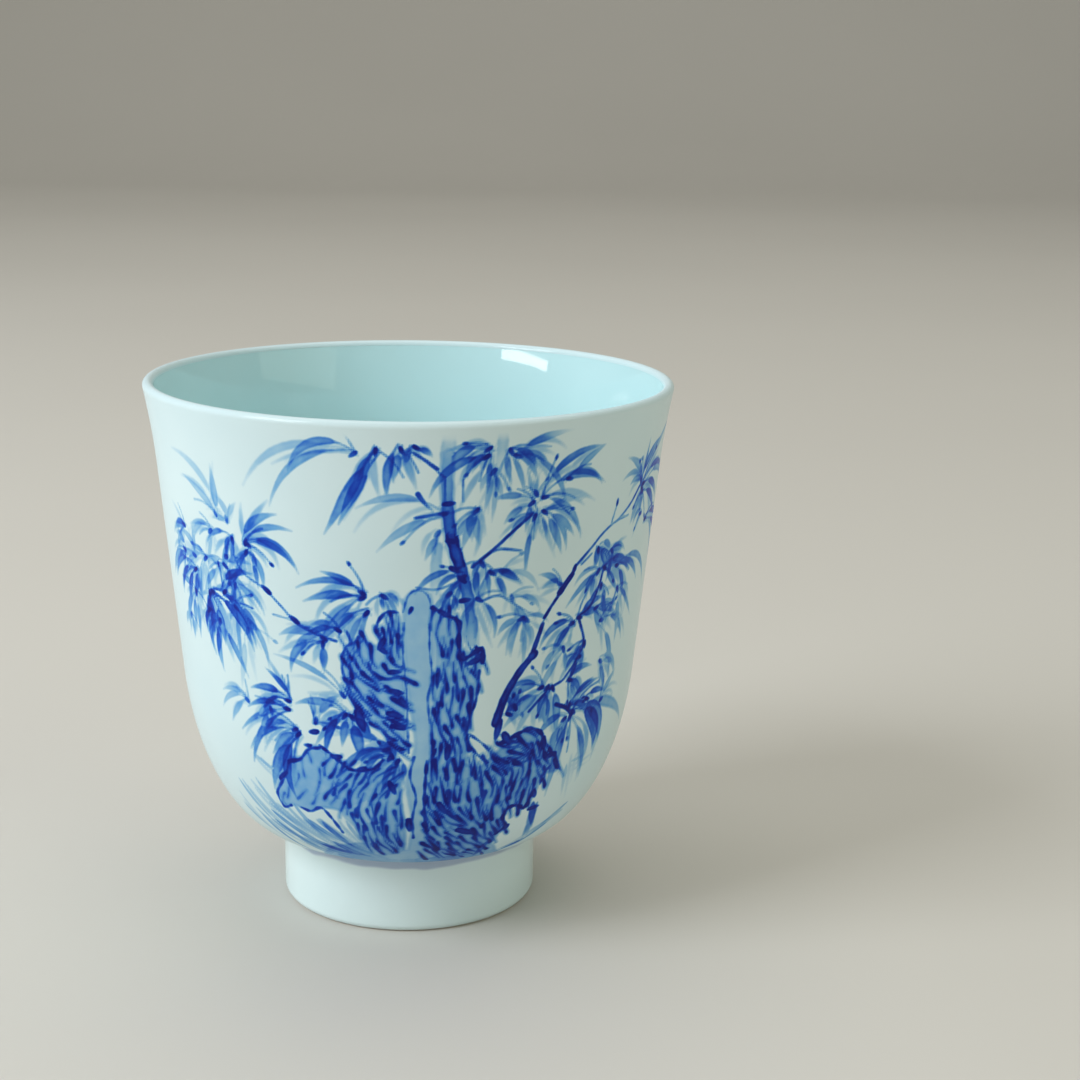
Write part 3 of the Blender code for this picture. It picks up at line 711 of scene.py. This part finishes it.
def paint(piece, outline, painting):
    """Keep the painting on a piece: depth and strength of each layer at every point."""
    count = len(piece.data.vertices)
    co = np.empty(count * 3)
    piece.data.vertices.foreach_get("co", co)
    co = co.reshape(-1, 3) / MM
    radius = np.hypot(co[:, 0], co[:, 1])
    along = np.concatenate([[0.0], np.cumsum(np.hypot(*np.diff(outline, axis=0).T))])
    rising = int(outline[:, 1].argmax()) + 1
    u = np.degrees(np.arctan2(co[:, 0], -co[:, 1])) * math.radians(WALL_RADIUS)
    v = np.interp(co[:, 2], outline[:rising, 1], along[:rising])
    depth, tone = lay_strokes(painting.strokes, np.column_stack([u, v]), radius / WALL_RADIUS)
    for name, values in (("depth_1", depth[:3]), ("depth_2", depth[3:]),
                         ("tone_1", tone[:3]), ("tone_2", tone[3:])):
        layer = piece.data.attributes.new(name, "FLOAT_VECTOR", "POINT")
        layer.data.foreach_set("vector", values.T.ravel())


# ---------------------------------------------------------------- finishes
def new_finish(name):
    """An empty material with a Principled shader: (material, tree, shader)."""
    material = bpy.data.materials.new(name)
    material.use_nodes = True
    tree = material.node_tree
    return material, tree, tree.nodes["Principled BSDF"]


def glaze_gloss(tree, shader, ripple, coat=0.8):
    """Clear glossy glaze over the body: sharp reflections that waver a little."""
    shader.inputs["Roughness"].default_value = 0.45
    shader.inputs["IOR"].default_value = 1.5
    shader.inputs["Specular IOR Level"].default_value = 0.0
    shader.inputs["Coat Weight"].default_value = coat
    shader.inputs["Coat Roughness"].default_value = 0.035
    shader.inputs["Coat IOR"].default_value = 1.52
    where = node(tree, "ShaderNodeTexCoord").outputs["Object"]
    waves = node(tree, "ShaderNodeTexNoise", {"Vector": where, "Scale": 1.0 / (9.0 * MM), "Detail": 1.0,
                                              "Roughness": 0.4})
    bump = node(tree, "ShaderNodeBump",
                {"Height": waves.outputs[0], "Distance": ripple * MM, "Strength": 1.0})
    tree.links.new(bump.outputs[0], shader.inputs["Coat Normal"])
    return where


def plain_glaze_colour(tree, where, pale, deep):
    """The body's blue-white, a little deeper where the glaze lies thicker."""
    pools = node(tree, "ShaderNodeTexNoise", {"Vector": where, "Scale": 1.0 / (14.0 * MM), "Detail": 2.0,
                                              "Roughness": 0.5})
    mix = node(tree, "ShaderNodeMix", {"Factor": pools.outputs[0], 6: linear(pale), 7: linear(deep)},
               data_type="RGBA")
    return mix.outputs[2]


def painted_porcelain():
    """Thrown porcelain painted in cobalt under a clear glaze: blue that is soft at its edges,
    darker where the brush paused, under one even gloss."""
    material, tree, shader = new_finish("underglaze_cobalt_porcelain")
    where = glaze_gloss(tree, shader, 0.02, coat=0.42)

    def maths(operation, *values, clamp=False):
        return node(tree, "ShaderNodeMath", dict(enumerate(values)), operation=operation,
                    use_clamp=clamp).outputs[0]

    # Colour bleeds unevenly: edges waver by less than a tenth of a millimetre, strength by a fifth
    waver = node(tree, "ShaderNodeTexNoise", {"Vector": where, "Scale": 1.0 / (0.9 * MM), "Detail": 2.0})
    pooling = node(tree, "ShaderNodeTexNoise", {"Vector": where, "Scale": 1.0 / (2.2 * MM), "Detail": 3.0})
    wander = maths("MULTIPLY_ADD", waver.outputs[0], 0.12, -0.06)
    strength = node(tree, "ShaderNodeMapRange",
                    {"Value": pooling.outputs[0], "From Min": 0.3, "From Max": 0.7,
                                                 "To Min": 0.8, "To Max": 1.12}).outputs[0]
    bare = None
    softness = {"wash": 0.35, "shade": 0.25, "leaf_a": 0.16, "leaf_b": 0.16, "ink": 0.14, "fine": 0.14}
    for half in (1, 2):
        depth = node(tree, "ShaderNodeAttribute", attribute_name=f"depth_{half}").outputs["Vector"]
        tone = node(tree, "ShaderNodeAttribute", attribute_name=f"tone_{half}").outputs["Vector"]
        depth = node(tree, "ShaderNodeSeparateXYZ", {0: depth}).outputs
        tone = node(tree, "ShaderNodeSeparateXYZ", {0: tone}).outputs
        for axis, layer in zip("XYZ", LAYERS[3 * half - 3:3 * half]):
            soft = softness[layer]
            edge = maths("ADD", depth[axis], wander)
            cover = node(tree, "ShaderNodeMapRange", {"Value": edge, "From Min": -soft, "From Max": soft},
                         interpolation_type="SMOOTHSTEP").outputs[0]
            # Wet edge: the colour gathers just inside the stroke's border
            rim = node(tree, "ShaderNodeMapRange", {"Value": edge, "From Min": 0.05, "From Max": 0.55,
                                                    "To Min": 1.2, "To Max": 0.84}).outputs[0]
            laid = maths("MULTIPLY", maths("MULTIPLY", tone[axis], strength), maths("MULTIPLY", cover, rim),
                         clamp=True)
            clear = maths("SUBTRACT", 1.0, laid)
            bare = clear if bare is None else maths("MULTIPLY", bare, clear)
    cobalt = maths("SUBTRACT", 1.0, bare, clamp=True)
    ramp = node(tree, "ShaderNodeValToRGB", {0: cobalt})
    stops = ((0.0, "#ffffff"), (0.14, "#c2ddf2"), (0.36, "#7db5ea"), (0.6, "#2870dc"), (0.82, "#0a42c2"),
             (1.0, "#03178c"))
    while len(ramp.color_ramp.elements) < len(stops):
        ramp.color_ramp.elements.new(0.5)
    for element, (position, colour) in zip(ramp.color_ramp.elements, stops):
        element.position = position
        element.color = linear(colour)
    # Low on the bowl the blue is turned towards violet: a painted reflection of the warm ground below, seen
    # in the glaze near the foot
    height = node(tree, "ShaderNodeSeparateXYZ", {0: where}).outputs["Z"]
    low = node(tree, "ShaderNodeMapRange", {"Value": height, "From Min": 23.0 * MM, "From Max": 13.0 * MM,
                                            "To Max": 0.75}).outputs[0]
    # Painted reflection: lavender multiplied into the blue, strongest just above the foot
    ground_reflection_tint = node(tree, "ShaderNodeMix", {"Factor": low, 6: ramp.outputs[0], 7: linear("#b9a9c4")},
                  data_type="RGBA", blend_type="MULTIPLY")
    tinted = node(tree, "ShaderNodeMix", {"Factor": cobalt, 6: ramp.outputs[0], 7: ground_reflection_tint.outputs[2]},
                  data_type="RGBA")
    body = plain_glaze_colour(tree, where, "#d8eaed", "#cde3e8")
    lip = node(tree, "ShaderNodeMapRange",
               {"Value": height, "From Min": 76.2 * MM, "From Max": 76.9 * MM}).outputs[0]
    lipped = node(tree, "ShaderNodeMix", {"Factor": lip, 6: body, 7: linear("#c9dde3")}, data_type="RGBA")
    final = node(tree, "ShaderNodeMix", {"Factor": 1.0, 6: lipped.outputs[2], 7: tinted.outputs[2]},
                 data_type="RGBA", blend_type="MULTIPLY")
    tree.links.new(final.outputs[2], shader.inputs["Base Color"])
    return material


def clear_glazed_porcelain(name, pale, deep):
    """Plain glazed porcelain: cool blue-white, with one even gloss."""
    material, tree, shader = new_finish(name)
    where = glaze_gloss(tree, shader, 0.02)
    tree.links.new(plain_glaze_colour(tree, where, pale, deep), shader.inputs["Base Color"])
    return material


def foot_porcelain():
    """The foot's glaze, with a thin grey-blue line under the bowl: partly glaze pooled in the crease,
    partly painted shade where the bowl overhangs the foot.
    """
    material, tree, shader = new_finish("clear_glazed_foot")
    where = glaze_gloss(tree, shader, 0.02)
    body = plain_glaze_colour(tree, where, "#dcedee", "#d2e6e8")
    place = node(tree, "ShaderNodeSeparateXYZ", {0: where}).outputs
    waver = node(tree, "ShaderNodeTexNoise", {"Vector": where, "Scale": 1.0 / (6.0 * MM), "Detail": 1.0})
    height = node(tree, "ShaderNodeMath", {0: waver.outputs[0], 1: 1.4 * MM, 2: place["Z"]},
                  operation="MULTIPLY_ADD").outputs[0]
    # Grey-blue band just under the bowl: pooled glaze together with painted shade from the overhanging
    # belly
    pooled_glaze_and_shade = node(tree, "ShaderNodeMapRange", {"Value": height, "From Min": 10.3 * MM, "From Max": 10.9 * MM,
                                             "To Max": 0.7}, interpolation_type="SMOOTHSTEP").outputs[0]
    mix = node(tree, "ShaderNodeMix", {"Factor": pooled_glaze_and_shade, 6: body, 7: linear("#8f9fc0")}, data_type="RGBA")
    tree.links.new(mix.outputs[2], shader.inputs["Base Color"])
    return material


def bare_porcelain():
    """Unglazed porcelain, ground smooth: matt and warm white, with a fine grit."""
    material, tree, shader = new_finish("bare_ground_porcelain")
    shader.inputs["Roughness"].default_value = 0.78
    shader.inputs["IOR"].default_value = 1.5
    where = node(tree, "ShaderNodeTexCoord").outputs["Object"]
    grit = node(tree, "ShaderNodeTexNoise", {"Vector": where, "Scale": 1.0 / (0.35 * MM), "Detail": 4.0})
    stain = node(tree, "ShaderNodeTexNoise", {"Vector": where, "Scale": 1.0 / (5.0 * MM), "Detail": 3.0})
    mix = node(tree, "ShaderNodeMix",
               {"Factor": stain.outputs[0], 6: linear("#efebe2"), 7: linear("#d9d0c0")},
               data_type="RGBA")
    bump = node(tree, "ShaderNodeBump", {"Height": grit.outputs[0], "Distance": 0.05 * MM, "Strength": 0.6})
    tree.links.new(mix.outputs[2], shader.inputs["Base Color"])
    tree.links.new(bump.outputs[0], shader.inputs["Normal"])
    return material


def pale_floor():
    """A matt painted board."""
    material, tree, shader = new_finish("matt_floor_paint")
    shader.inputs["Roughness"].default_value = 0.7
    where = node(tree, "ShaderNodeTexCoord").outputs["Object"]
    cloud = node(tree, "ShaderNodeTexNoise", {"Vector": where, "Scale": 3.0, "Detail": 2.0})
    mix = node(tree, "ShaderNodeMix",
               {"Factor": cloud.outputs[0], 6: linear("#cfccc6"), 7: linear("#c8c5bf")},
               data_type="RGBA")
    tree.links.new(mix.outputs[2], shader.inputs["Base Color"])
    return material


# ---------------------------------------------------------------- the cup
outer = turned_piece("outer_glaze", outer_outline(), painted_porcelain(), PAINTED_COLUMNS,
                     FRONT_ANGLE, FRONT_SHARE, CROWDING)
paint(outer, outer_outline(), paint_bamboo_and_rocks())
inner = turned_piece("inner_glaze", inner_outline(),
                     clear_glazed_porcelain("clear_glazed_bowl", "#c8e8ec", "#bde0e5"), PLAIN_COLUMNS)
foot = turned_piece("foot_glaze", foot_outline(), foot_porcelain(), PLAIN_COLUMNS)
bare = turned_piece("bare_foot_edge", bare_edge_outline(), bare_porcelain(), PLAIN_COLUMNS)
base = turned_piece("base_glaze", base_outline(),
                    clear_glazed_porcelain("clear_glazed_base", "#dcedee", "#d2e6e8"), PLAIN_COLUMNS)

for piece, replaced, slot in ((outer, ("cup_body",), "painted_glaze"),
                              (inner, ("cup_body",), "painted_glaze"),
                              (foot, ("foot_ring",), "plain_glaze"), (bare, ("foot_ring",), "plain_glaze"),
                              (base, ("foot_ring", "cup_body"), "plain_glaze")):
    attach(piece, "root")
    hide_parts(*replaced)

# ---------------------------------------------------------------- floor, light and camera
def swept_floor():
    """A floor that curves up into a plain wall far behind the cup."""
    run = [(-3.0, 0.0), (1.6, 0.0)]
    run += [(1.6 + 0.8 * math.sin(a),
             0.8 - 0.8 * math.cos(a)) for a in np.radians(np.linspace(6.0, 90.0, 15))]
    run += [(2.4, 3.0)]
    data = bpy.data.meshes.new("floor")
    data.from_pydata([(x, y, z) for x in (-4.0, 4.0) for y, z in run], [],
                     [(i, i + len(run), i + len(run) + 1, i + 1) for i in range(len(run) - 1)])
    data.materials.append(pale_floor())
    data.shade_smooth()
    return bpy.data.objects.new("floor", data)


floor = swept_floor()
bpy.context.scene.collection.objects.link(floor)

world = bpy.data.worlds.new("studio")
world.use_nodes = True
world.node_tree.nodes["Background"].inputs["Color"].default_value = linear("#e8e8e0")
world.node_tree.nodes["Background"].inputs["Strength"].default_value = 0.42
bpy.context.scene.world = world


def soft_light(name, bearing, elevation, distance, size, power, colour="#ffffff", roll=0.0):
    """A rectangular light aimed at the cup, placed by its bearing from the front and its elevation."""
    light = bpy.data.lights.new(name, "AREA")
    light.shape = "RECTANGLE"
    light.size, light.size_y = size
    light.energy = power
    light.color = linear(colour)[:3]
    turn, rise = math.radians(bearing), math.radians(elevation)
    away = Vector((math.sin(turn) * math.cos(rise), -math.cos(turn) * math.cos(rise), math.sin(rise)))
    lamp = bpy.data.objects.new(name, light)
    aimed = away.to_track_quat("Z", "Y").to_matrix() @ Matrix.Rotation(math.radians(roll), 3, "Z")
    lamp.matrix_world = Matrix.Translation(away * distance + Vector((0.0, 0.0, 0.05))) @ aimed.to_4x4()
    bpy.context.scene.collection.objects.link(lamp)
    return lamp


soft_light("window", -64.0, 35.0, 1.05, (0.46, 0.56), 7.3, "#f6fbff")
soft_light("window_sill", -59.0, 14.7, 1.05, (0.46, 0.034), 0.55, "#ffffff", roll=9.0)
soft_light("side", -103.0, 18.0, 1.1, (0.5, 0.5), 1.9, "#f2faff").visible_glossy = False
soft_light("overhead", 165.0, 78.0, 1.7, (1.6, 1.6), 11.0, "#fbf8f0")
soft_light("fill", 58.0, 30.0, 1.2, (0.9, 0.9), 2.3, "#eff3d8")

CAMERA_BACK, CAMERA_UP = 283.4 * MM, 121.4 * MM
CAMERA_PITCH, CAMERA_YAW, CAMERA_ROLL = (math.radians(a) for a in (13.541, 3.810, 0.957))
camera_data = bpy.data.cameras.new("camera")
camera_data.sensor_width = 36.0
camera_data.lens = 66.85
camera = bpy.data.objects.new("camera", camera_data)
ahead = Vector((math.sin(CAMERA_YAW) * math.cos(CAMERA_PITCH),
                math.cos(CAMERA_YAW) * math.cos(CAMERA_PITCH),
                -math.sin(CAMERA_PITCH)))
right = Vector((math.cos(CAMERA_YAW), -math.sin(CAMERA_YAW), 0.0))
up = right.cross(ahead)
tilted_right = math.cos(CAMERA_ROLL) * right + math.sin(CAMERA_ROLL) * up
tilted_up = -math.sin(CAMERA_ROLL) * right + math.cos(CAMERA_ROLL) * up
camera.matrix_world = Matrix.Translation((0.0, -CAMERA_BACK, CAMERA_UP)) @ Matrix(
    (tilted_right, tilted_up, -ahead)).transposed().to_4x4()
bpy.context.scene.collection.objects.link(camera)
bpy.context.scene.camera = camera
bpy.context.scene.view_settings.view_transform = "Standard"
